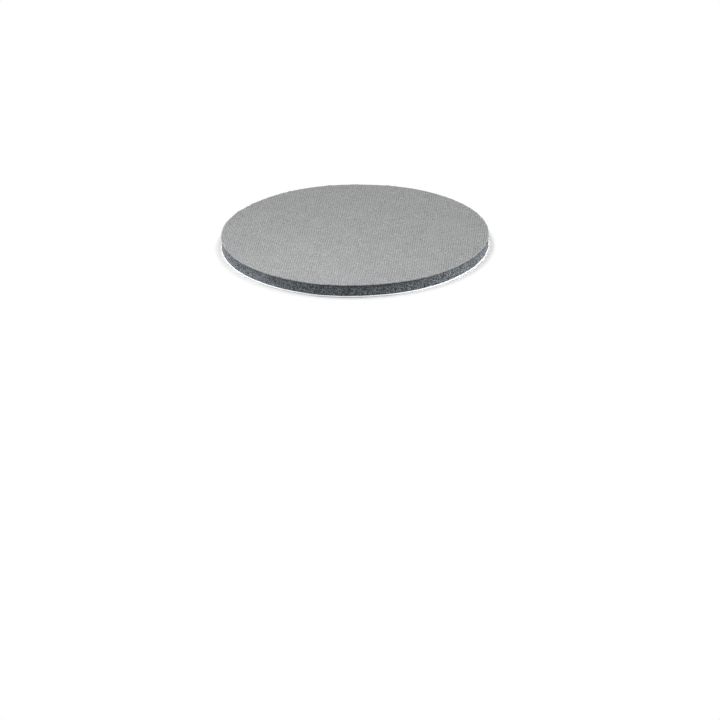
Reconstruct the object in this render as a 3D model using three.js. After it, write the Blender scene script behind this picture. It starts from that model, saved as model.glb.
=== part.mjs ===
// A foam sanding disc: grit-coated knitted cloth, a layer of soft foam and a brushed loop backing,
// bonded face to face and cut out together with one round die.
// Millimetres, +Z up. The origin is the centre of the loop backing's flat face, and the grit faces +Z.
import * as THREE from "three";

// Driving dimensions
const discDiameter = 150;
const clothThickness = 0.5;
const foamThickness = 6;
const loopThickness = 0.9;

// The die pulls the cloth's edge down a little as it cuts, and the loops fall away at their cut edge.
const clothEdgeRadius = 0.3;
const loopEdgeRadius = 0.5;

// Foam squeezed by the die springs back, so its cut wall is slightly hollow at half its height.
const foamHollow = 0.3;

const aroundSteps = 144;
const edgeArcSteps = 4;
const foamArcSteps = 8;

// Heights of the bonded faces, from the loop face up
const loopTop = loopThickness;
const foamTop = loopTop + foamThickness;
const clothTop = foamTop + clothThickness;
const discRadius = discDiameter / 2;

// Points of a quarter circle in the half plane of radius and height, from angle to angle in radians.
function arc(centreRadius, centreHeight, size, from, to, steps) {
  return Array.from({ length: steps + 1 }, (_, i) => {
    const angle = from + ((to - from) * i) / steps;
    return new THREE.Vector2(
      centreRadius + size * Math.cos(angle),
      centreHeight + size * Math.sin(angle),
    );
  });
}

// A body turned about the disc's axis. The profile runs from the axis at the bottom to the axis at the top.
// A lathe turns its profile about Y, so the body is tipped up to turn about Z.
function turnedLayer(name, profile, look) {
  const geometry = new THREE.LatheGeometry(profile, aroundSteps);
  geometry.rotateX(Math.PI / 2);
  const layer = new THREE.Mesh(geometry, new THREE.MeshStandardMaterial(look));
  layer.name = name;
  return layer;
}

// The white loop cloth, with its lower edge rounded
function loopBacking() {
  const profile = [
    new THREE.Vector2(0, 0),
    ...arc(discRadius - loopEdgeRadius, loopEdgeRadius, loopEdgeRadius, -Math.PI / 2, 0, edgeArcSteps),
    new THREE.Vector2(discRadius, loopTop),
    new THREE.Vector2(0, loopTop),
  ];
  return turnedLayer("loop_backing", profile, { color: 0xe4e6e6, roughness: 0.95, metalness: 0 });
}

// The foam, full size at both bonded faces and drawn in along a shallow arc between them
function foamPad() {
  const wall = Array.from({ length: foamArcSteps + 1 }, (_, i) => {
    const share = i / foamArcSteps;
    const drawnIn = foamHollow * 4 * share * (1 - share);
    return new THREE.Vector2(discRadius - drawnIn, loopTop + foamThickness * share);
  });
  const profile = [new THREE.Vector2(0, loopTop), ...wall, new THREE.Vector2(0, foamTop)];
  return turnedLayer("foam_pad", profile, { color: 0x52585d, roughness: 0.98, metalness: 0 });
}

// The grit-coated cloth, with its upper edge rolled over by the die
function abrasiveCloth() {
  const rollRadius = discRadius - clothEdgeRadius;
  const rollHeight = clothTop - clothEdgeRadius;
  const profile = [
    new THREE.Vector2(0, foamTop),
    new THREE.Vector2(discRadius, foamTop),
    ...arc(rollRadius, rollHeight, clothEdgeRadius, 0, Math.PI / 2, edgeArcSteps),
    new THREE.Vector2(0, clothTop),
  ];
  return turnedLayer("abrasive_cloth", profile, { color: 0xa1a2a2, roughness: 0.85, metalness: 0 });
}

const disc = new THREE.Group();
disc.add(loopBacking());
disc.add(foamPad());
disc.add(abrasiveCloth());

export default disc;
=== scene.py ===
# %% [markdown]
# # A foam sanding disc
#
# The object is a soft laminate, cut out with one round die: a grit-coated knitted cloth on top, a layer of
# dark open-cell foam in the middle, and a white brushed loop cloth underneath. Its shape is plain, so its
# surfaces carry it. This lesson spends its time on three of them: the ribs of the knit, the cut pores in the
# wall of the foam, and the fuzz of the loop cloth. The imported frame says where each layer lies.

# %% The frame
import math

import bpy
import numpy as np
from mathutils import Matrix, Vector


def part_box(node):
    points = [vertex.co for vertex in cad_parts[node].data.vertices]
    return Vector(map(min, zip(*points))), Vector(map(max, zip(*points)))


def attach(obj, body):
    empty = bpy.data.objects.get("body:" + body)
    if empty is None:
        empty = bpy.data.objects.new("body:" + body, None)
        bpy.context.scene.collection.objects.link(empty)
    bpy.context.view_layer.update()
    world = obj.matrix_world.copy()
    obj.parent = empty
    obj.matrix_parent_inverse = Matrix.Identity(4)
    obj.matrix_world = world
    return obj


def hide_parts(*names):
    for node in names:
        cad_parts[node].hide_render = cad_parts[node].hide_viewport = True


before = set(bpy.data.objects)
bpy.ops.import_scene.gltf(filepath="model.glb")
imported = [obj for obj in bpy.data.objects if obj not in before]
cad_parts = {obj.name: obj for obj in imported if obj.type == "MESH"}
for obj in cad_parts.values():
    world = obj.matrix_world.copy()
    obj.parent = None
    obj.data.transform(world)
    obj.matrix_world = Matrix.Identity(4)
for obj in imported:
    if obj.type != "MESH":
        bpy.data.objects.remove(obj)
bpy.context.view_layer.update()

loop_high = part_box("loop_backing")[1]
foam_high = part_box("foam_pad")[1]
cloth_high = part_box("abrasive_cloth")[1]

MM = 0.001
disc_radius = foam_high[0]
loop_top = loop_high[2]
foam_top = foam_high[2]
cloth_top = cloth_high[2]
foam_thickness = foam_top - loop_top
print("disc radius", round(disc_radius / MM, 3), "mm, layers end at",
      [round(z / MM, 3) for z in (loop_top, foam_top, cloth_top)], "mm")

# %% [markdown]
# ## The camera
#
# The picture was taken from far away with a long lens, about 24 degrees above the table, so the round face
# is a nearly true ellipse. The distance is 24 disc radii. The camera leaned by less than a degree. It aims
# at a point under the disc, because the disc sits in the upper half of the frame.

# %% Camera
camera_distance = 24 * disc_radius
camera_elevation = math.radians(24.4)
camera_roll = math.radians(-0.75)
aim_right = 0.0252 * disc_radius
aim_under_face = 1.0442 * disc_radius
aim = np.array((aim_right, 0.0, cloth_top - aim_under_face))

camera_data = bpy.data.cameras.new("camera")
camera_data.lens = 157.6
camera_data.sensor_width = 36.0
camera_data.clip_start = 0.01
camera_data.clip_end = 50.0
camera = bpy.data.objects.new("camera", camera_data)
bpy.context.scene.collection.objects.link(camera)
back_along_view = np.array((0.0, -math.cos(camera_elevation), math.sin(camera_elevation)))
camera.location = aim + camera_distance * back_along_view
tilt_up_from_straight_down = math.pi / 2 - camera_elevation
camera.rotation_mode = "XYZ"
camera.rotation_euler = (tilt_up_from_straight_down, 0.0, 0.0)
camera.rotation_euler.rotate_axis("Z", camera_roll)
bpy.context.scene.camera = camera
print("camera at", [round(v, 4) for v in camera.location], "m")

# %% [markdown]
# ## Small helpers for meshes
#
# Each surface below is worked out as whole arrays of points, laid out as a grid. A grid of points becomes
# faces by numbering: the corner of each face is a point, its neighbour, and the two in the next row. One
# helper makes those numbers, another puts points, faces and a few values per point into a Blender mesh.


# %% Mesh helpers
def grid_faces(rows, columns, closed):
    """Quads between the neighbours of a grid that is numbered row by row. A closed grid joins its last
    column to its first."""
    row = np.arange(rows - 1)[:, None]
    column = np.arange(columns if closed else columns - 1)[None, :]
    here = row * columns + column
    right = row * columns + (column + 1) % columns
    return np.stack((here, right, right + columns, here + columns), axis=-1).reshape(-1, 4)


def make_piece(name, points, faces, values=None, wales=None):
    """A smooth-shaded mesh object at the origin, with named values per point and, if wales is given, a UV
    map with a pair of numbers per point."""
    mesh = bpy.data.meshes.new(name)
    mesh.from_pydata(np.asarray(points, dtype=np.float32), [], faces)
    for key, per_point in (values or {}).items():
        stored = mesh.attributes.new(key, "FLOAT", "POINT")
        stored.data.foreach_set("value", per_point.astype(np.float32))
    if wales is not None:
        corner = np.empty(len(mesh.loops), dtype=np.int32)
        mesh.loops.foreach_get("vertex_index", corner)
        uv_map = mesh.uv_layers.new(name="wales")
        uv_map.data.foreach_set("uv", wales[corner].astype(np.float32).ravel())
    mesh.shade_smooth()
    made = bpy.data.objects.new(name, mesh)
    bpy.context.scene.collection.objects.link(made)
    triangles = sum(len(face.vertices) - 2 for face in mesh.polygons)
    print(name, len(mesh.vertices), "points,", triangles, "triangles")
    return made


longest_to_shortest = 2.5


def long_waves(x, y, shortest, count, seed):
    """A smooth random field, mostly between -1 and 1: sines of random direction, phase and length, from
    shortest to longest_to_shortest times that, added up and divided by the root of their count."""
    random = np.random.default_rng(seed)
    total = np.zeros_like(x)
    for _ in range(count):
        direction = random.uniform(0, 2 * math.pi)
        turns_per_metre = 1 / (shortest * random.uniform(1.0, longest_to_shortest))
        phase = random.uniform(0, 2 * math.pi)
        along = x * math.cos(direction) + y * math.sin(direction)
        total += np.sin(2 * math.pi * turns_per_metre * along + phase)
    return total / math.sqrt(count)


# %% [markdown]
# ## How a soft disc lies
#
# A soft laminate is never as true as its die. It is a little out of round, and it doesn't lie quite flat.
# All layers share that, so one function moves the points of every piece from where a perfect disc has them
# to where this one does. It is used last, when a piece is otherwise finished.

# %% A slightly uneven disc
out_of_round = 0.10 * MM
rim_ripple = 0.06 * MM
lie_height = 0.12 * MM


def as_it_lies(points):
    """Points with their distance from the axis stretched by a long and a short wave around the rim, and
    their height raised by nought to twice lie_height, in waves across the disc."""
    x, y, z = points[:, 0], points[:, 1], points[:, 2]
    around = np.arctan2(y, x)
    rim_x = disc_radius * np.cos(around)
    rim_y = disc_radius * np.sin(around)
    pushed_out = out_of_round * long_waves(rim_x, rim_y, 35 * MM, 6, 51)
    pushed_out += rim_ripple * long_waves(rim_x, rim_y, 6 * MM, 8, 53)
    outward = 1 + pushed_out / disc_radius
    lift = lie_height * np.clip(1 + long_waves(x, y, 60 * MM, 5, 52), 0, 2)
    return np.stack((x * outward, y * outward, z + lift), axis=-1)


# %% [markdown]
# ## The foam, a layer of cut pores
#
# Foam is a froth of small cells. A die cuts straight through them, so the wall of the disc is a field of
# little open cups with thin walls between, some small, some large. A bump map would do from afar, but the
# wall is only a few millimetres high and is seen edge on, so here the cups are real dents in the mesh. The
# wall is a grid of arc length and height, and each grid point asks the nearest cell centres how deep its
# cup is there.


# %% Cups in the foam wall
def cups(along, up, length, cell, radius, depth, kept, seed):
    """Depth of round cups at each point. Of the square cells, the share kept hold one cup each, at a random
    place, of random radius and depth. A cup is depth times the root of one minus (distance over radius)
    squared, and the deepest of the nine cells around a point counts. The pattern repeats after length, so it
    closes around the disc."""
    random = np.random.default_rng(seed)
    across = int(round(length / cell))
    cell = length / across
    levels = int(np.ceil(up.max() / cell)) + 3
    shape = (across, levels)
    centre_x = random.uniform(0.15, 0.85, shape)
    centre_y = random.uniform(0.15, 0.85, shape)
    size = random.uniform(*radius, shape)
    deep = random.uniform(*depth, shape) * (random.random(shape) < kept)
    column = np.floor(along / cell).astype(int)
    level = np.floor(up / cell).astype(int) + 1
    deepest = np.zeros_like(along)
    for step_x in (-1, 0, 1):
        for step_y in (-1, 0, 1):
            i = (column + step_x) % across
            j = np.clip(level + step_y, 0, levels - 1)
            away_x = along - (column + step_x + centre_x[i, j]) * cell
            away_y = up - (level - 1 + step_y + centre_y[i, j]) * cell
            share = (away_x**2 + away_y**2) / size[i, j] ** 2
            deepest = np.maximum(deepest, deep[i, j] * np.sqrt(np.clip(1 - share, 0, 1)))
    return deepest


# %% The wall of the foam
wall_columns = 2500
wall_rows = 36
foam_hollow = 0.3 * MM
shred_height = 0.03 * MM
shred_size = 0.5 * MM

angle = np.linspace(0, 2 * math.pi, wall_columns, endpoint=False)[None, :]
share_up = np.linspace(0, 1, wall_rows)[:, None]
angle_grid = np.broadcast_to(angle, (wall_rows, wall_columns))
share_grid = np.broadcast_to(share_up, (wall_rows, wall_columns))
arc_length = angle_grid * disc_radius
height = share_grid * foam_thickness
rim_length = 2 * math.pi * disc_radius

on_wall = (arc_length, height, rim_length)
large = cups(
    *on_wall, cell=2.4 * MM, radius=(0.32 * MM, 0.55 * MM), depth=(0.22 * MM, 0.42 * MM),
    kept=0.35, seed=11)
middle = cups(
    *on_wall, cell=1.0 * MM, radius=(0.26 * MM, 0.42 * MM), depth=(0.16 * MM, 0.34 * MM),
    kept=0.85, seed=12)
small = cups(
    *on_wall, cell=0.46 * MM, radius=(0.15 * MM, 0.22 * MM), depth=(0.10 * MM, 0.20 * MM),
    kept=0.95, seed=13)
pore = np.maximum(np.maximum(large, middle), small)
shred = long_waves(arc_length, height, shred_size, 12, 14)
for kind, dents in (("large", large), ("middle", middle), ("small", small)):
    print(kind, "cups cover", round(100 * float(np.mean(dents > 0))), "percent of the wall")

# %% [markdown]
# The glue holds the foam back right under the cloth, and a little above the loop cloth too, so the wall
# steps in at both of its edges. Between them it is hollow by a parabola, close to the shallow arc of the
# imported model. Two fans of triangles, from points on the axis, close the body above and below.

# %% The foam pad
step_under_cloth = 0.22 * MM
reach_under_cloth = 0.45 * MM
step_over_loops = 0.088 * MM
reach_over_loops = 0.25 * MM
step_in = step_under_cloth * np.exp(-(foam_thickness - height) / reach_under_cloth)
step_in += step_over_loops * np.exp(-height / reach_over_loops)
wall_hollow = foam_hollow * 4 * share_grid * (1 - share_grid)
wall_radius = disc_radius - wall_hollow - pore + shred_height * shred - step_in
wall_x = wall_radius * np.cos(angle_grid)
wall_y = wall_radius * np.sin(angle_grid)
wall = np.stack((wall_x, wall_y, loop_top + height), axis=-1)

foam_points = np.concatenate((wall.reshape(-1, 3), ((0, 0, loop_top), (0, 0, foam_top))))
bottom_centre = wall_rows * wall_columns
top_centre = bottom_centre + 1
first = np.arange(wall_columns)
following = (first + 1) % wall_columns
top_ring = (wall_rows - 1) * wall_columns
bottom_lid = np.stack((np.full(wall_columns, bottom_centre), following, first), axis=-1)
top_lid = np.stack((np.full(wall_columns, top_centre), top_ring + first, top_ring + following), axis=-1)
foam_faces = grid_faces(wall_rows, wall_columns, True).tolist() + bottom_lid.tolist() + top_lid.tolist()
deep_pore = 0.3 * MM
pore_share = np.append(pore.ravel() / deep_pore, (0, 0))
share_of_height = np.append(share_grid.ravel(), (0, 1))
foam_values = {"pore": pore_share, "up": share_of_height}
foam = make_piece("foam_layer", as_it_lies(foam_points), foam_faces, foam_values)
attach(foam, "root")
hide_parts("foam_pad")

# %% [markdown]
# ## A round sheet on a grid of chords
#
# Both cloths are round sheets with a relief on one face. A grid in rings would crowd points at the centre
# and cut across the ribs of the knit. Instead each column of the grid is a straight chord of the circle, and
# a point is a column's place across and a share of its chord along it. The columns then run with the ribs,
# and the outer ends of all chords lie on the circle. The other face is flat and hidden by the foam, so one
# strip for each pair of columns closes it.


# %% Columns and rows
outermost_column_in = 0.02 * MM


def chord_columns(step, rim_step):
    """Places of the columns from -radius to radius: equal steps, but shorter ones near both ends, where one
    step across would be more than rim_step along the rim."""
    places = [disc_radius - outermost_column_in]
    while places[-1] > 0:
        steepness = math.sqrt(1 - (places[-1] / disc_radius) ** 2)
        places.append(places[-1] - min(step, rim_step * steepness))
        if rim_step * steepness >= step:
            break
    whole_steps = math.floor(places[-1] / step)
    middle_part = np.arange(-whole_steps, whole_steps + 1) * step
    ends = np.array(places)
    ends = ends[ends > middle_part[-1] + 0.4 * step]
    return np.concatenate((-ends, middle_part, ends[::-1]))


def chord_rows(count, from_rim):
    """Shares of the chord from -1 to 1: even steps, and extra ones at the given distances from the rim."""
    even = np.linspace(-1, 1, count)
    extra = 1 - np.array(from_rim) / disc_radius
    return np.unique(np.concatenate((even, extra, -extra)))


# %% The sheet itself
edge_fade = 0.2 * MM


def round_sheet(columns, rows, relief, plain_height, rim_shape, wander=None, facing_up=True):
    """A closed round sheet. relief(across, along, from_rim) is the height of its fine face, plain_height the
    height of its flat one, and rim_shape lists (share of the way from fine to flat, distance pushed out).
    wander(across, along) moves points sideways, less towards the rim. Gives points, faces and a value per
    point: 1 on the cut edge, and on the fine face a half at the rim, dying away within a millimetre."""
    across = np.repeat(columns[:, None], len(rows), axis=1)
    along = rows[None, :] * np.sqrt(disc_radius**2 - across**2)
    distance = np.hypot(across, along)
    from_rim = disc_radius - distance
    z = relief(across, along, from_rim)
    x = across
    if wander is not None:
        x = across + wander(across, along) * (1 - (distance / disc_radius) ** 8)
    face = np.stack((x, along, z), axis=-1).reshape(-1, 3)
    wide, long = len(columns), len(rows)
    number = np.arange(wide * long).reshape(wide, long)
    ring = np.concatenate((number[:, 0], number[-1, 1:], number[-2::-1, -1], number[0, -2:0:-1]))
    ring_points = face[ring]
    outward = ring_points[:, :2] / np.linalg.norm(ring_points[:, :2], axis=1, keepdims=True)
    around = np.arctan2(outward[:, 1], outward[:, 0])
    levels = [face]
    for share, push in rim_shape:
        level = np.empty_like(ring_points)
        level[:, :2] = ring_points[:, :2] + outward * push(around)[:, None]
        level[:, 2] = ring_points[:, 2] * (1 - share) + plain_height * share
        levels.append(level)
    count = len(ring)
    face_quads = grid_faces(wide, long, False)[:, ::-1]
    starts = [wide * long + k * count for k in range(len(rim_shape))]
    index_rows = [ring] + [start + np.arange(count) for start in starts]
    rim_quads = [
        np.stack((lower, np.roll(lower, -1), np.roll(upper, -1), upper), axis=-1)
        for upper, lower in zip(index_rows[:-1], index_rows[1:])
    ]
    last = index_rows[-1]
    front = last[:wide]
    back = last[wide + long - 2:2 * wide + long - 2][::-1]
    right_end = last[wide - 2:wide + long]
    left_end = np.concatenate((last[2 * wide + long - 4:], last[:2]))
    strips = np.stack((front[1:-2], back[1:-2], back[2:-1], front[2:-1]), axis=-1)
    faces = np.concatenate([face_quads] + rim_quads + [strips]).tolist()
    faces += [right_end[::-1].tolist(), left_end[::-1].tolist()]
    if not facing_up:
        faces = [corners[::-1] for corners in faces]
    near_edge = 0.5 * np.exp(-from_rim.ravel() / edge_fade)
    cut_edge = np.concatenate((near_edge, np.ones(count * len(rim_shape))))
    return np.concatenate(levels), faces, cut_edge


# %% [markdown]
# ## The grit cloth
#
# The working face is a fine knit. Its loops of yarn stack up in columns, called wales, and each wale stands
# up as a rib about a millimetre and a quarter wide. Resin and grit coat the ribs, and the gaps between them
# stay open. The ribs are in the mesh, five columns of points to a rib, and they wander a little as knitted
# cloth does. The stitches along a rib are too small for the mesh and come from the material, which finds
# them with a UV map that counts wales across and stitches along.
#
# The rim is where the die cut. There the cloth is rolled down, in places its last yarns stand up, and its
# cut edge bulges unevenly, which three rings of points around the rim stand for.

# %% The ribbed cloth
rib_pitch = 1.26 * MM
stitch_pitch = 0.96 * MM
rib_lean = math.radians(-4.8)
rib_height = 0.06 * MM
points_per_rib = 5
face_swell = 0.08 * MM
edge_slope = 0.06 * MM
edge_slope_reach = 0.9 * MM
edge_round = 0.28 * MM
edge_lift = 0.20 * MM
edge_lift_reach = 0.8 * MM
rib_drift = 0.16 * MM


def cloth_height(across, along, from_rim):
    """Top of the cloth: a rib is a raised cosine across the wales, the face swells softly over tens of
    millimetres, and near the rim it falls off, by a long slope and then a quarter-round. In places the last
    millimetre stands up again, where the die has pulled at the yarns."""
    rib = 0.5 - 0.5 * np.cos(2 * math.pi * across / rib_pitch)
    swell = face_swell * long_waves(across, along, 45 * MM, 7, 21)
    slope = edge_slope * np.exp(-from_rim / edge_slope_reach)
    inside = np.clip(1 - from_rim / edge_round, 0, 1)
    corner = edge_round * (1 - np.sqrt(1 - inside**2))
    pulled = np.clip(long_waves(across, along, 2.6 * MM, 9, 26), 0, 2)
    stands_up = edge_lift * pulled * np.exp(-from_rim / edge_lift_reach)
    return cloth_top + swell + stands_up - rib_height * rib - slope - 0.7 * corner


def rib_wander(across, along):
    """Sideways drift of the wales, in metres."""
    return rib_drift * long_waves(across * 0.35, along, 17 * MM, 6, 22)


def cut_yarn_push(amount, seed):
    """Outward push along the rim as a function of the angle around, uneven from yarn to yarn and over a few
    yarns."""
    def push(around):
        x = disc_radius * np.cos(around)
        y = disc_radius * np.sin(around)
        by_yarn = long_waves(x, y, 0.9 * MM, 9, seed)
        by_few_yarns = long_waves(x, y, 3.2 * MM, 9, 29)
        return amount * (0.6 + (0.35 * by_yarn + 0.65 * by_few_yarns))
    return push


cloth_columns = chord_columns(rib_pitch / points_per_rib, 0.7 * MM)
cloth_rows = chord_rows(118, (0.05 * MM, 0.14 * MM, 0.3 * MM, 0.7 * MM))
cloth_rim_shape = [
    (0.45, cut_yarn_push(0.14 * MM, 23)),
    (0.8, cut_yarn_push(0.10 * MM, 24)),
    (1.0, cut_yarn_push(-0.03 * MM, 25)),
]
cloth_points, cloth_faces, cloth_edge = round_sheet(
    cloth_columns, cloth_rows, cloth_height, foam_top, cloth_rim_shape, wander=rib_wander)

# %% Counting wales and stitches
across_and_along = np.zeros((len(cloth_points), 2))
face_count = len(cloth_columns) * len(cloth_rows)
column_grid = np.repeat(cloth_columns[:, None], len(cloth_rows), axis=1)
across_and_along[:face_count, 0] = column_grid.ravel() / rib_pitch
across_and_along[face_count:, 0] = cloth_points[face_count:, 0] / rib_pitch
across_and_along[:, 1] = cloth_points[:, 1] / stitch_pitch


def turned(points, angle):
    """Points turned about the disc's axis by an angle."""
    cos, sin = math.cos(angle), math.sin(angle)
    x = points[:, 0] * cos - points[:, 1] * sin
    y = points[:, 0] * sin + points[:, 1] * cos
    return np.stack((x, y, points[:, 2]), axis=-1)


cloth_as_cut = as_it_lies(turned(cloth_points, rib_lean))
cloth = make_piece("grit_cloth", cloth_as_cut, cloth_faces, {"cut_edge": cloth_edge}, wales=across_and_along)
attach(cloth, "root")
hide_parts("abrasive_cloth")

# %% [markdown]
# ## The loop cloth
#
# The backing is a brushed knit, about a millimetre thick, whose loops point down and catch the hooks of a
# sander's pad. It is a sheet like the grit cloth, turned over: its fine face is below, matted into soft
# tufts, and its cut edge bulges unevenly where the fibres spring out.

# %% The brushed sheet
tuft_depth = 0.20 * MM
short_tuft = 1.5 * MM
long_tuft = 3.6 * MM
rim_lift = 0.12 * MM
rim_lift_reach = 2.5 * MM
loop_edge_round = 0.30 * MM


def loop_height(across, along, from_rim):
    """Underside of the backing: tufts a millimetre or two wide, pressed flat below, lifting towards the rim
    and rounded off there."""
    short_tufts = long_waves(across, along, short_tuft, 14, 31)
    long_tufts = long_waves(across, along, long_tuft, 8, 32)
    tufts = 0.5 + 0.25 * short_tufts + 0.25 * long_tufts
    inside = np.clip(1 - from_rim / loop_edge_round, 0, 1)
    corner = loop_edge_round * (1 - np.sqrt(1 - inside**2))
    lifted = rim_lift * np.exp(-from_rim / rim_lift_reach)
    return tuft_depth * np.clip(tufts, 0, 1) + lifted + 0.8 * corner


loop_columns = chord_columns(0.52 * MM, 0.8 * MM)
loop_rows = chord_rows(226, (0.08 * MM, 0.25 * MM, 0.5 * MM))
loop_rim_shape = [
    (0.25, cut_yarn_push(0.10 * MM, 33)),
    (0.5, cut_yarn_push(0.14 * MM, 34)),
    (0.75, cut_yarn_push(0.12 * MM, 35)),
    (1.0, cut_yarn_push(0.02 * MM, 36)),
]
loop_points, loop_faces, loop_edge = round_sheet(
    loop_columns, loop_rows, loop_height, loop_top, loop_rim_shape, facing_up=False)
between_tufts = np.clip(loop_points[:, 2] / tuft_depth, 0, 1) * np.clip(1 - 2 * loop_edge, 0, 1)
loops = make_piece("loop_cloth", as_it_lies(loop_points), loop_faces, {"between_tufts": between_tufts})
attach(loops, "root")
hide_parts("loop_backing")

# %% [markdown]
# ## Fibre ends at the cut edge
#
# Where the die cut the brushed cloth, thousands of white fibre ends stick out past the foam, some up, some
# down, each with a curl of its own. They are thin bent tubes, with three sides and a few rings each, and all
# of them are worked out at once: an array of paths, and a small triangle carried along every path. The grit
# cloth has cut ends too, but they are fewer, shorter and stiff with resin.


# %% Fibres as arrays
def bent_fibres(start, direction, bend, length, thickness, rings):
    """Points and faces of many three-sided tapering tubes. A path is start + direction * s + bend * s
    squared, for s from 0 to length, and the section is a triangle across the path that shrinks towards the
    end."""
    count = len(start)
    s = np.linspace(0, 1, rings)[None, :, None] * length[:, None, None]
    path = start[:, None, :] + direction[:, None, :] * s + bend[:, None, :] * s**2
    ahead = direction[:, None, :] + 2 * bend[:, None, :] * s
    ahead /= np.linalg.norm(ahead, axis=-1, keepdims=True)
    side = np.cross(ahead, np.array((0.0, 0.0, 1.0)))
    side /= np.linalg.norm(side, axis=-1, keepdims=True) + 1e-12
    up = np.cross(side, ahead)
    taper = np.linspace(1.0, 0.35, rings)[None, :, None] * thickness[:, None, None] / 2
    corners = []
    for turn in (0.0, 2 * math.pi / 3, 4 * math.pi / 3):
        corners.append(path + taper * (math.cos(turn) * side + math.sin(turn) * up))
    points = np.stack(corners, axis=2).reshape(-1, 3)
    ring = np.arange(rings - 1)[:, None]
    corner = np.arange(3)[None, :]
    here = ring * 3 + corner
    right = ring * 3 + (corner + 1) % 3
    tube = np.stack((here, right, right + 3, here + 3), axis=-1).reshape(-1, 4)
    offsets = (np.arange(count) * rings * 3)[:, None, None]
    sides = (tube[None] + offsets).reshape(-1, 4)
    first_cap = np.array((2, 1, 0))
    last_cap = (rings - 1) * 3 + np.array((0, 1, 2))
    caps = (np.stack((first_cap, last_cap))[None] + offsets).reshape(-1, 3)
    return points, sides.tolist() + caps.tolist()


# %% Fibres around the rim
fibre_root = 0.1 * MM
above_table = 0.01 * MM


def rim_fibres(count, levels, sideways, rising, mean_length, widths, droop, seed):
    """Fibres that start just inside the rim, at heights spread evenly between two levels, and lean out at
    random: sideways is the spread of the lean along the rim, rising its mean and spread upwards. Lengths
    follow a gamma distribution, and each fibre curls by a random bend, on the whole downwards by droop."""
    random = np.random.default_rng(seed)
    around = random.uniform(0, 2 * math.pi, count)
    outward = np.stack((np.cos(around), np.sin(around), np.zeros(count)), axis=-1)
    tangent = np.stack((-np.sin(around), np.cos(around), np.zeros(count)), axis=-1)
    upright = np.array((0.0, 0.0, 1.0))[None, :]
    start = outward * (disc_radius - fibre_root)
    start[:, 2] = random.uniform(*levels, count)
    lean_along = random.normal(0, sideways, (count, 1))
    lean_up = random.normal(*rising, (count, 1))
    direction = outward + tangent * lean_along + upright * lean_up
    direction /= np.linalg.norm(direction, axis=1, keepdims=True)
    length = random.gamma(4.0, mean_length / 4, count)
    curl = tangent * random.normal(0, 1, (count, 1)) + upright * random.normal(-droop, 0.6, (count, 1))
    bend = curl * random.uniform(0.1, 0.9, (count, 1)) / MM
    thickness = random.uniform(*widths, count)
    points, faces = bent_fibres(start, direction, bend, length, thickness, rings=5)
    points[:, 2] = np.maximum(points[:, 2], above_table)
    return as_it_lies(points), faces


fringe_points, fringe_faces = rim_fibres(
    count=4600,
    levels=(0.12 * loop_top, 0.85 * loop_top),
    sideways=0.9,
    rising=(-0.05, 0.45),
    mean_length=0.55 * MM,
    widths=(0.035 * MM, 0.075 * MM),
    droop=0.1,
    seed=41,
)
fringe = make_piece("loop_fringe", fringe_points, fringe_faces)
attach(fringe, "root")

# %% Yarn ends of the grit cloth
yarn_points, yarn_faces = rim_fibres(
    count=900,
    levels=(foam_top + 0.06 * MM, cloth_top - 0.16 * MM),
    sideways=0.7,
    rising=(-0.05, 0.3),
    mean_length=0.26 * MM,
    widths=(0.05 * MM, 0.10 * MM),
    droop=0.2,
    seed=42,
)
yarn_ends = make_piece("yarn_ends", yarn_points, yarn_faces)
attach(yarn_ends, "root")

# %% [markdown]
# ## What the sheets were cut from
#
# Both cloths were cut together from flat stock.

# %% [markdown]
# ## Small helpers for materials
#
# A material here is a Principled shader fed by a few noise patterns. Writing each node out in full hides the
# idea, so one helper adds a node and sets or links its inputs, and a few more stand for a sum, a blend of
# two colours and a stretch of a value's range. Colours are written as they look on a screen and turned into
# the linear values that the shader wants.


# %% Material helpers
def colour(red, green, blue):
    """A screen colour, 0 to 255, as linear values: the sRGB curve is undone."""
    shares = [channel / 255 for channel in (red, green, blue)]
    linear = [s / 12.92 if s <= 0.04045 else ((s + 0.055) / 1.055) ** 2.4 for s in shares]
    return (*linear, 1.0)


def new_material(name, roughness):
    """A Principled material with its fixed roughness. Gives the material, its tree and its shader."""
    material = bpy.data.materials.new(name)
    material.use_nodes = True
    shader = material.node_tree.nodes["Principled BSDF"]
    shader.inputs["Roughness"].default_value = roughness
    return material, material.node_tree, shader


def add(tree, kind, inputs=None, **settings):
    """Adds a node. settings are its own fields, inputs map a socket to a value or to a socket to link."""
    made = tree.nodes.new(kind)
    for key, value in settings.items():
        setattr(made, key, value)
    for key, value in (inputs or {}).items():
        if isinstance(value, bpy.types.NodeSocket):
            tree.links.new(value, made.inputs[key])
        else:
            made.inputs[key].default_value = value
    return made


def calc(tree, operation, first, second=0.0):
    """One Math node."""
    return add(tree, "ShaderNodeMath", {0: first, 1: second}, operation=operation).outputs[0]


def stretch(tree, value, low, high, to_low, to_high):
    """Maps low..high to to_low..to_high, held at both ends."""
    numbers = {"Value": value, "From Min": low, "From Max": high, "To Min": to_low, "To Max": to_high}
    return add(tree, "ShaderNodeMapRange", numbers).outputs[0]


def blend(tree, share, low, high):
    """A colour between low and high."""
    inputs = {0: share, 6: low, 7: high}
    return add(tree, "ShaderNodeMix", inputs, data_type="RGBA").outputs[2]


def noise(tree, place, size, detail=2.0, roughness=0.5, output="Fac"):
    """Smooth noise whose blobs are about size metres wide, as a value or, with output Color, as three."""
    inputs = {"Vector": place, "Scale": 1 / size, "Detail": detail, "Roughness": roughness}
    return add(tree, "ShaderNodeTexNoise", inputs).outputs[output]


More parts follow.
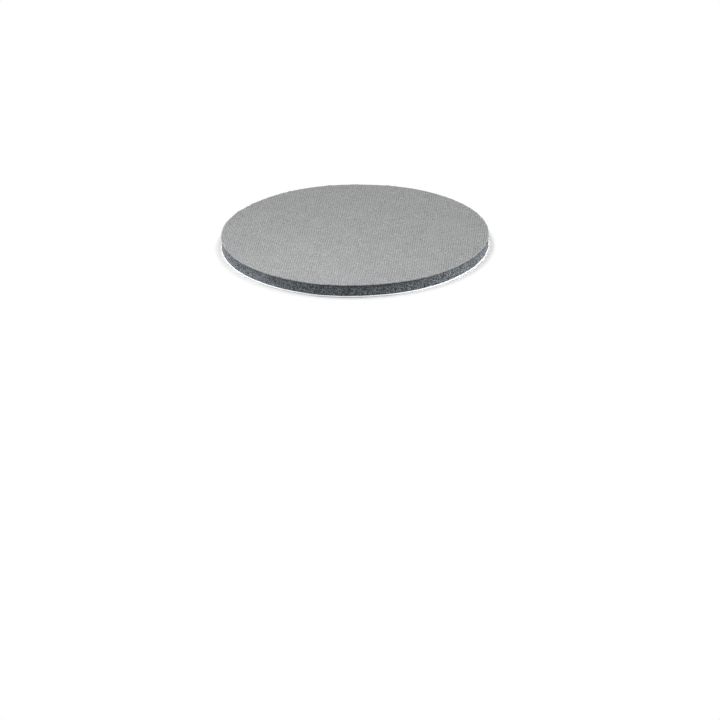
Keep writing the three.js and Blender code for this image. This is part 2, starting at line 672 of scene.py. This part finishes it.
def grains(tree, place, size):
    """A random value for each small cell of the given size in metres."""
    inputs = {"Vector": place, "Scale": 1 / size}
    cells = add(tree, "ShaderNodeTexVoronoi", inputs)
    return add(tree, "ShaderNodeSeparateColor", {0: cells.outputs["Color"]}).outputs[0]


def value_of(tree, name):
    """A value stored on the mesh's points."""
    return add(tree, "ShaderNodeAttribute", attribute_name=name).outputs["Fac"]


def dress(piece, material):
    """Puts a material on a piece and says how many nodes it took."""
    piece.data.materials.append(material)
    print(piece.name, "wears", material.name, "with", len(material.node_tree.nodes), "nodes")


# %% [markdown]
# ## Foam material
#
# The foam is a dark slate grey with a touch of blue. Its pores hold shadow, and the thin walls between them
# catch the light, so the colour follows the depth of the cups that the mesh already has. Three noises,
# from coarse to fine, stand for smaller cells and clots of them. Towards the cloth the foam is painted
# darker, as painted shade where the cloth's lip shades it and less light comes up from the table, and right
# under the cloth a dark band is painted shadow of the cloth's edge. Sheen lightens the foam where it turns
# away, as torn skin does.

# %% Foam
foam_material, tree, shader = new_material("slate_foam", 0.95)
place = add(tree, "ShaderNodeTexCoord").outputs["Object"]
mottle = stretch(tree, noise(tree, place, 3.4 * MM, 3.0, 0.65), 0.36, 0.64, 0.0, 1.0)
clotted = stretch(tree, noise(tree, place, 0.68 * MM, 2.0, 0.6), 0.43, 0.57, 0.0, 1.0)
fine = stretch(tree, noise(tree, place, 0.42 * MM, 2.0, 0.75), 0.38, 0.62, 0.0, 1.0)
shade = calc(tree, "ADD", calc(tree, "MULTIPLY", mottle, 0.12), calc(tree, "MULTIPLY", clotted, 0.56))
shade = calc(tree, "ADD", shade, calc(tree, "MULTIPLY", fine, 0.32))
skin = blend(tree, shade, colour(4, 8, 12), colour(128, 135, 141))
depth = value_of(tree, "pore")
pored = blend(tree, stretch(tree, depth, 0.12, 0.8, 0.0, 0.92), skin, colour(15, 18, 22))
up = value_of(tree, "up")
# Painted shade: the foam is painted darker towards the cloth, where its lip shades it and less table light
# reaches.
shade_towards_cloth = blend(tree, stretch(tree, up, 0.30, 1.0, 0.0, 0.42), pored, colour(40, 45, 49))
# Painted shadow: a dark band right under the cloth stands for the shadow of the cloth's edge.
shadow_under_cloth = blend(tree, stretch(tree, up, 0.88, 0.97, 0.0, 0.35), shade_towards_cloth, colour(24, 28, 32))
tree.links.new(shadow_under_cloth, shader.inputs["Base Color"])
bump = add(tree, "ShaderNodeBump", {"Height": fine, "Strength": 1.0, "Distance": 0.12 * MM})
tree.links.new(bump.outputs[0], shader.inputs["Normal"])
shader.inputs["Specular IOR Level"].default_value = 0.2
# Less sheen right under the cloth keeps that painted shadow dark.
sheen_away_from_cloth = stretch(tree, up, 0.84, 0.96, 1.0, 0.1)
torn = stretch(tree, shade, 0.2, 0.8, 0.2, 1.0)
tree.links.new(calc(tree, "MULTIPLY", sheen_away_from_cloth, torn), shader.inputs["Sheen Weight"])
shader.inputs["Sheen Roughness"].default_value = 0.45
shader.inputs["Sheen Tint"].default_value = colour(187, 191, 194)
dress(foam, foam_material)

# %% [markdown]
# ## Grit cloth material
#
# The knit shows as ribs, and along each rib as small V-shaped stitches. The UV map counts wales and
# stitches, so the fraction of its first value says where a point lies across its wale, and from there two
# slanted strands are a matter of a sine. The gaps between stitches and between ribs are darker, partly as
# open cloth and partly as painted shade in the hollows. Over that lies the grit: a cell pattern gives each
# grain a random value, a few grains are nearly black, a few are painted glints, and a fine noise that shifts
# the place before the cells are looked up makes the grains ragged. The cut edge and the rim just inside it
# are painted darker, as painted shade under the cloth's edge.

# %% Where a point lies on the knit
cloth_material, tree, shader = new_material("grey_grit_knit", 0.72)
place = add(tree, "ShaderNodeTexCoord").outputs["Object"]
counted = add(tree, "ShaderNodeUVMap", uv_map="wales").outputs[0]
parts = add(tree, "ShaderNodeSeparateXYZ", {0: counted})
from_crest = calc(tree, "SUBTRACT", calc(tree, "FRACT", calc(tree, "ADD", parts.outputs[0], 0.5)), 0.5)
beside_crest = calc(tree, "ABSOLUTE", from_crest)
slant = calc(tree, "MULTIPLY", beside_crest, 1.3)
strand_place = calc(tree, "SUBTRACT", parts.outputs[1], slant)
strand = calc(tree, "SINE", calc(tree, "MULTIPLY", calc(tree, "FRACT", strand_place), math.pi))
leg = calc(tree, "ABSOLUTE", calc(tree, "SINE", calc(tree, "MULTIPLY", beside_crest, 2 * math.pi)))
stitch = calc(tree, "MULTIPLY", calc(tree, "POWER", strand, 0.6), calc(tree, "POWER", leg, 0.6))
stitch_gap_and_shade = stretch(tree, stitch, 0.0, 0.45, 1.0, 0.0)
rib_gap_and_shade = stretch(tree, beside_crest, 0.30, 0.48, 0.0, 1.0)

# %% Grit cloth
raggedness = (0.5 * MM, 0.5 * MM, 0.5 * MM)
shiver = noise(tree, place, 0.22 * MM, 3.0, 0.5, "Color")
shifted = {0: shiver, 1: raggedness, 2: place}
ragged = add(tree, "ShaderNodeVectorMath", shifted, operation="MULTIPLY_ADD").outputs[0]
grit = grains(tree, ragged, 0.24 * MM)
speck = grains(tree, ragged, 0.55 * MM)
clump = noise(tree, place, 0.6 * MM, 3.0, 0.7)
along_rib = {0: counted, 1: (1.0, 0.17, 0.0)}
drawn_out = add(tree, "ShaderNodeVectorMath", along_rib, operation="MULTIPLY").outputs[0]
streak = noise(tree, drawn_out, 0.36, 2.0, 0.6)
cloudy = noise(tree, place, 16 * MM, 2.0, 0.5)
patchy = stretch(tree, noise(tree, place, 11 * MM, 2.0, 0.5), 0.3, 0.7, 0.25, 0.75)
coated = calc(tree, "ADD", calc(tree, "MULTIPLY", clump, 0.35), calc(tree, "MULTIPLY", streak, 0.65))
even_coat = stretch(tree, coated, 0.40, 0.60, 0.0, 1.0)
coat = blend(tree, even_coat, colour(138, 139, 139), colour(168, 169, 168))
coat = blend(tree, stretch(tree, cloudy, 0.35, 0.65, 0.0, 0.4), coat, colour(156, 158, 160))
# The gaps between stitches and ribs are darker: partly open cloth, partly painted shade in the hollows.
coat = blend(tree, calc(tree, "MULTIPLY", stitch_gap_and_shade, 0.28), coat, colour(108, 109, 110))
coat = blend(tree, calc(tree, "MULTIPLY", rib_gap_and_shade, patchy), coat, colour(84, 85, 86))
coat = blend(tree, stretch(tree, grit, 0.10, 0.13, 0.40, 0.0), coat, colour(74, 75, 76))
# Painted glints: the lightest small grains are painted light, where the grit would sparkle.
coat = blend(tree, stretch(tree, grit, 0.90, 0.93, 0.0, 0.38), coat, colour(222, 223, 222))
coat = blend(tree, stretch(tree, speck, 0.035, 0.045, 0.6, 0.0), coat, colour(72, 73, 74))
# Painted glints on the lightest larger grains too.
coat = blend(tree, stretch(tree, speck, 0.955, 0.965, 0.0, 0.4), coat, colour(214, 215, 214))

# %% Cut edge and relief of the grit cloth
# Painted shade: the cut edge and the rim just inside it are painted darker, for the shadow under the cloth's
# edge.
uneven_edge_shade = stretch(tree, noise(tree, place, 0.5 * MM, 2.0, 0.6), 0.35, 0.65, 0.5, 1.0)
edge = stretch(tree, value_of(tree, "cut_edge"), 0.15, 0.55, 0.0, 1.0)
coat = blend(tree, calc(tree, "MULTIPLY", edge, uneven_edge_shade), coat, colour(86, 89, 92))
tree.links.new(coat, shader.inputs["Base Color"])
relief = calc(tree, "ADD", calc(tree, "MULTIPLY", stitch, 0.7), calc(tree, "MULTIPLY", clump, 0.5))
relief = calc(tree, "ADD", relief, calc(tree, "MULTIPLY", grit, 0.25))
bump = add(tree, "ShaderNodeBump", {"Height": relief, "Strength": 0.16, "Distance": 0.15 * MM})
tree.links.new(bump.outputs[0], shader.inputs["Normal"])
shader.inputs["Specular IOR Level"].default_value = 0.3
dress(cloth, cloth_material)

# %% Yarn ends
yarn_material, tree, shader = new_material("cut_yarn", 0.8)
place = add(tree, "ShaderNodeTexCoord").outputs["Object"]
tone = noise(tree, place, 1.2 * MM, 2.0, 0.5)
tree.links.new(blend(tree, tone, colour(92, 95, 98), colour(168, 170, 170)), shader.inputs["Base Color"])
shader.inputs["Specular IOR Level"].default_value = 0.3
dress(yarn_ends, yarn_material)

# %% [markdown]
# ## Loop cloth and fibres
#
# White polyester is bright and matt, and its fuzz scatters light forwards and back, which sheen stands for.
# The sheet gets a fine clotted bump and is painted greyer in the partings between its tufts, as painted
# shade there, and the loose fibres get one plain look with a slow change of tone.

# %% White loops
loop_material, tree, shader = new_material("white_brushed_loops", 0.9)
place = add(tree, "ShaderNodeTexCoord").outputs["Object"]
matted = noise(tree, place, 0.3 * MM, 3.0, 0.7)
dust = noise(tree, place, 5 * MM, 2.0, 0.5)
fuzz = stretch(tree, matted, 0.3, 0.7, 0.0, 1.0)
white = blend(tree, fuzz, colour(238, 240, 241), colour(252, 252, 252))
white = blend(tree, stretch(tree, dust, 0.35, 0.7, 0.0, 0.25), white, colour(240, 241, 241))
# Painted shade: the partings between tufts are painted greyer.
tuft_parting_shade = stretch(tree, value_of(tree, "between_tufts"), 0.35, 0.9, 0.0, 0.6)
white = blend(tree, tuft_parting_shade, white, colour(198, 202, 205))
tree.links.new(white, shader.inputs["Base Color"])
bump = add(tree, "ShaderNodeBump", {"Height": matted, "Strength": 0.4, "Distance": 0.2 * MM})
tree.links.new(bump.outputs[0], shader.inputs["Normal"])
shader.inputs["Specular IOR Level"].default_value = 0.25
shader.inputs["Sheen Weight"].default_value = 0.7
shader.inputs["Sheen Roughness"].default_value = 0.4
dress(loops, loop_material)

# %% White fibres
fibre_material, tree, shader = new_material("white_fibre", 0.6)
place = add(tree, "ShaderNodeTexCoord").outputs["Object"]
tone = noise(tree, place, 2 * MM, 2.0, 0.5)
tree.links.new(blend(tree, tone, colour(234, 236, 237), colour(252, 252, 252)), shader.inputs["Base Color"])
shader.inputs["Specular IOR Level"].default_value = 0.3
dress(fringe, fibre_material)

# %% [markdown]
# ## Table, backdrop and light
#
# The disc lies on a white table in a white tent of light: two large soft lamps low at the left and right, a
# weaker one in front, a small one close above the near left edge, where the face is brightest, and the white
# world all round. The table catches the disc's soft shadow. Near the rim the camera sees the table greyer
# than the light it throws back, which deepens that shadow with painted shade. For the camera it turns
# plain white a little way out from the rim, so that only the shadow at the disc's foot shows.

# %% The white table
table_half = 4.0
corner_signs = ((-1, -1), (1, -1), (1, 1), (-1, 1))
corners = [(table_half * x, table_half * y, 0.0) for x, y in corner_signs]
floor_mesh = bpy.data.meshes.new("table")
floor_mesh.from_pydata(corners, [], [(0, 1, 2, 3)])
floor = bpy.data.objects.new("table", floor_mesh)
bpy.context.scene.collection.objects.link(floor)


def seen_directly(tree):
    """1 for what the camera sees straight on, in a gloss or through glass, else 0."""
    path = add(tree, "ShaderNodeLightPath").outputs
    seen = calc(tree, "MAXIMUM", path["Is Camera Ray"], path["Is Glossy Ray"])
    return calc(tree, "MAXIMUM", seen, path["Is Transmission Ray"])


floor_material = bpy.data.materials.new("white_table")
floor_material.use_nodes = True
tree = floor_material.node_tree
tree.nodes.clear()
seen = seen_directly(tree)
# Painted shade: seen directly, the table is greyer (0.72) than for the light it throws back (0.86).
table_tone_with_painted_shade = stretch(tree, seen, 0.0, 1.0, 0.86, 0.72)
white_from = 1.055 * disc_radius
near = add(tree, "ShaderNodeBsdfDiffuse", {"Color": table_tone_with_painted_shade}).outputs[0]
plain_white = add(tree, "ShaderNodeEmission", {"Color": (1.0, 1.0, 1.0, 1.0), "Strength": 1.0}).outputs[0]
table_place = add(tree, "ShaderNodeTexCoord").outputs["Object"]
away = add(tree, "ShaderNodeVectorMath", {0: table_place}, operation="LENGTH").outputs["Value"]
whiteness = stretch(tree, away, disc_radius, white_from, 0.0, 1.0)
far_share = calc(tree, "MULTIPLY", seen, whiteness)
table = add(tree, "ShaderNodeMixShader", {0: far_share, 1: near, 2: plain_white}).outputs[0]
add(tree, "ShaderNodeOutputMaterial", {"Surface": table})
dress(floor, floor_material)

# %% The world
fill_strength = 0.30
world = bpy.data.worlds.new("white_tent")
bpy.context.scene.world = world
world.use_nodes = True
tree = world.node_tree
tree.nodes.clear()
seen = seen_directly(tree)
strength = calc(tree, "ADD", calc(tree, "MULTIPLY", seen, 1.0 - fill_strength), fill_strength)
tent = add(tree, "ShaderNodeBackground", {"Color": (1.0, 1.0, 1.0, 1.0), "Strength": strength}).outputs[0]
add(tree, "ShaderNodeOutputWorld", {"Surface": tent})
print("the world gives", fill_strength, "as light and 1.0 where it is seen")


# %% Lamps
def softbox(name, place, wide, tall, watts):
    """A soft rectangular lamp at a place, turned to the disc. The camera doesn't see the lamp itself."""
    data = bpy.data.lights.new(name, "AREA")
    data.shape = "RECTANGLE"
    data.size = wide
    data.size_y = tall
    data.energy = watts
    lamp = bpy.data.objects.new(name, data)
    bpy.context.scene.collection.objects.link(lamp)
    lamp.location = place
    lamp.visible_camera = False
    toward = np.array(place) / np.linalg.norm(place)
    lamp.rotation_mode = "XYZ"
    lamp.rotation_euler = (math.acos(toward[2]), 0.0, math.atan2(toward[1], toward[0]) + math.pi / 2)
    print(name, "gives", watts, "W from", round(float(np.linalg.norm(place)), 2), "m away")


softbox("lamp_left", (-1.08, 0.3, 0.16), wide=0.5, tall=0.30, watts=17.5)
softbox("lamp_right", (1.1, 0.05, 0.16), wide=0.5, tall=0.30, watts=23.5)
softbox("lamp_front", (-0.19, -0.53, 0.30), wide=0.35, tall=0.25, watts=1.3)
softbox("lamp_edge", (-0.045, -0.09, 0.15), wide=0.10, tall=0.10, watts=0.109)

# %% [markdown]
# ## Colours and the end
#
# The colours above were written as they look on a screen, so the plain view transform is used, which leaves
# them as they are.

# %% Colour handling
bpy.context.scene.view_settings.view_transform = "Standard"
print("view transform", bpy.context.scene.view_settings.view_transform)
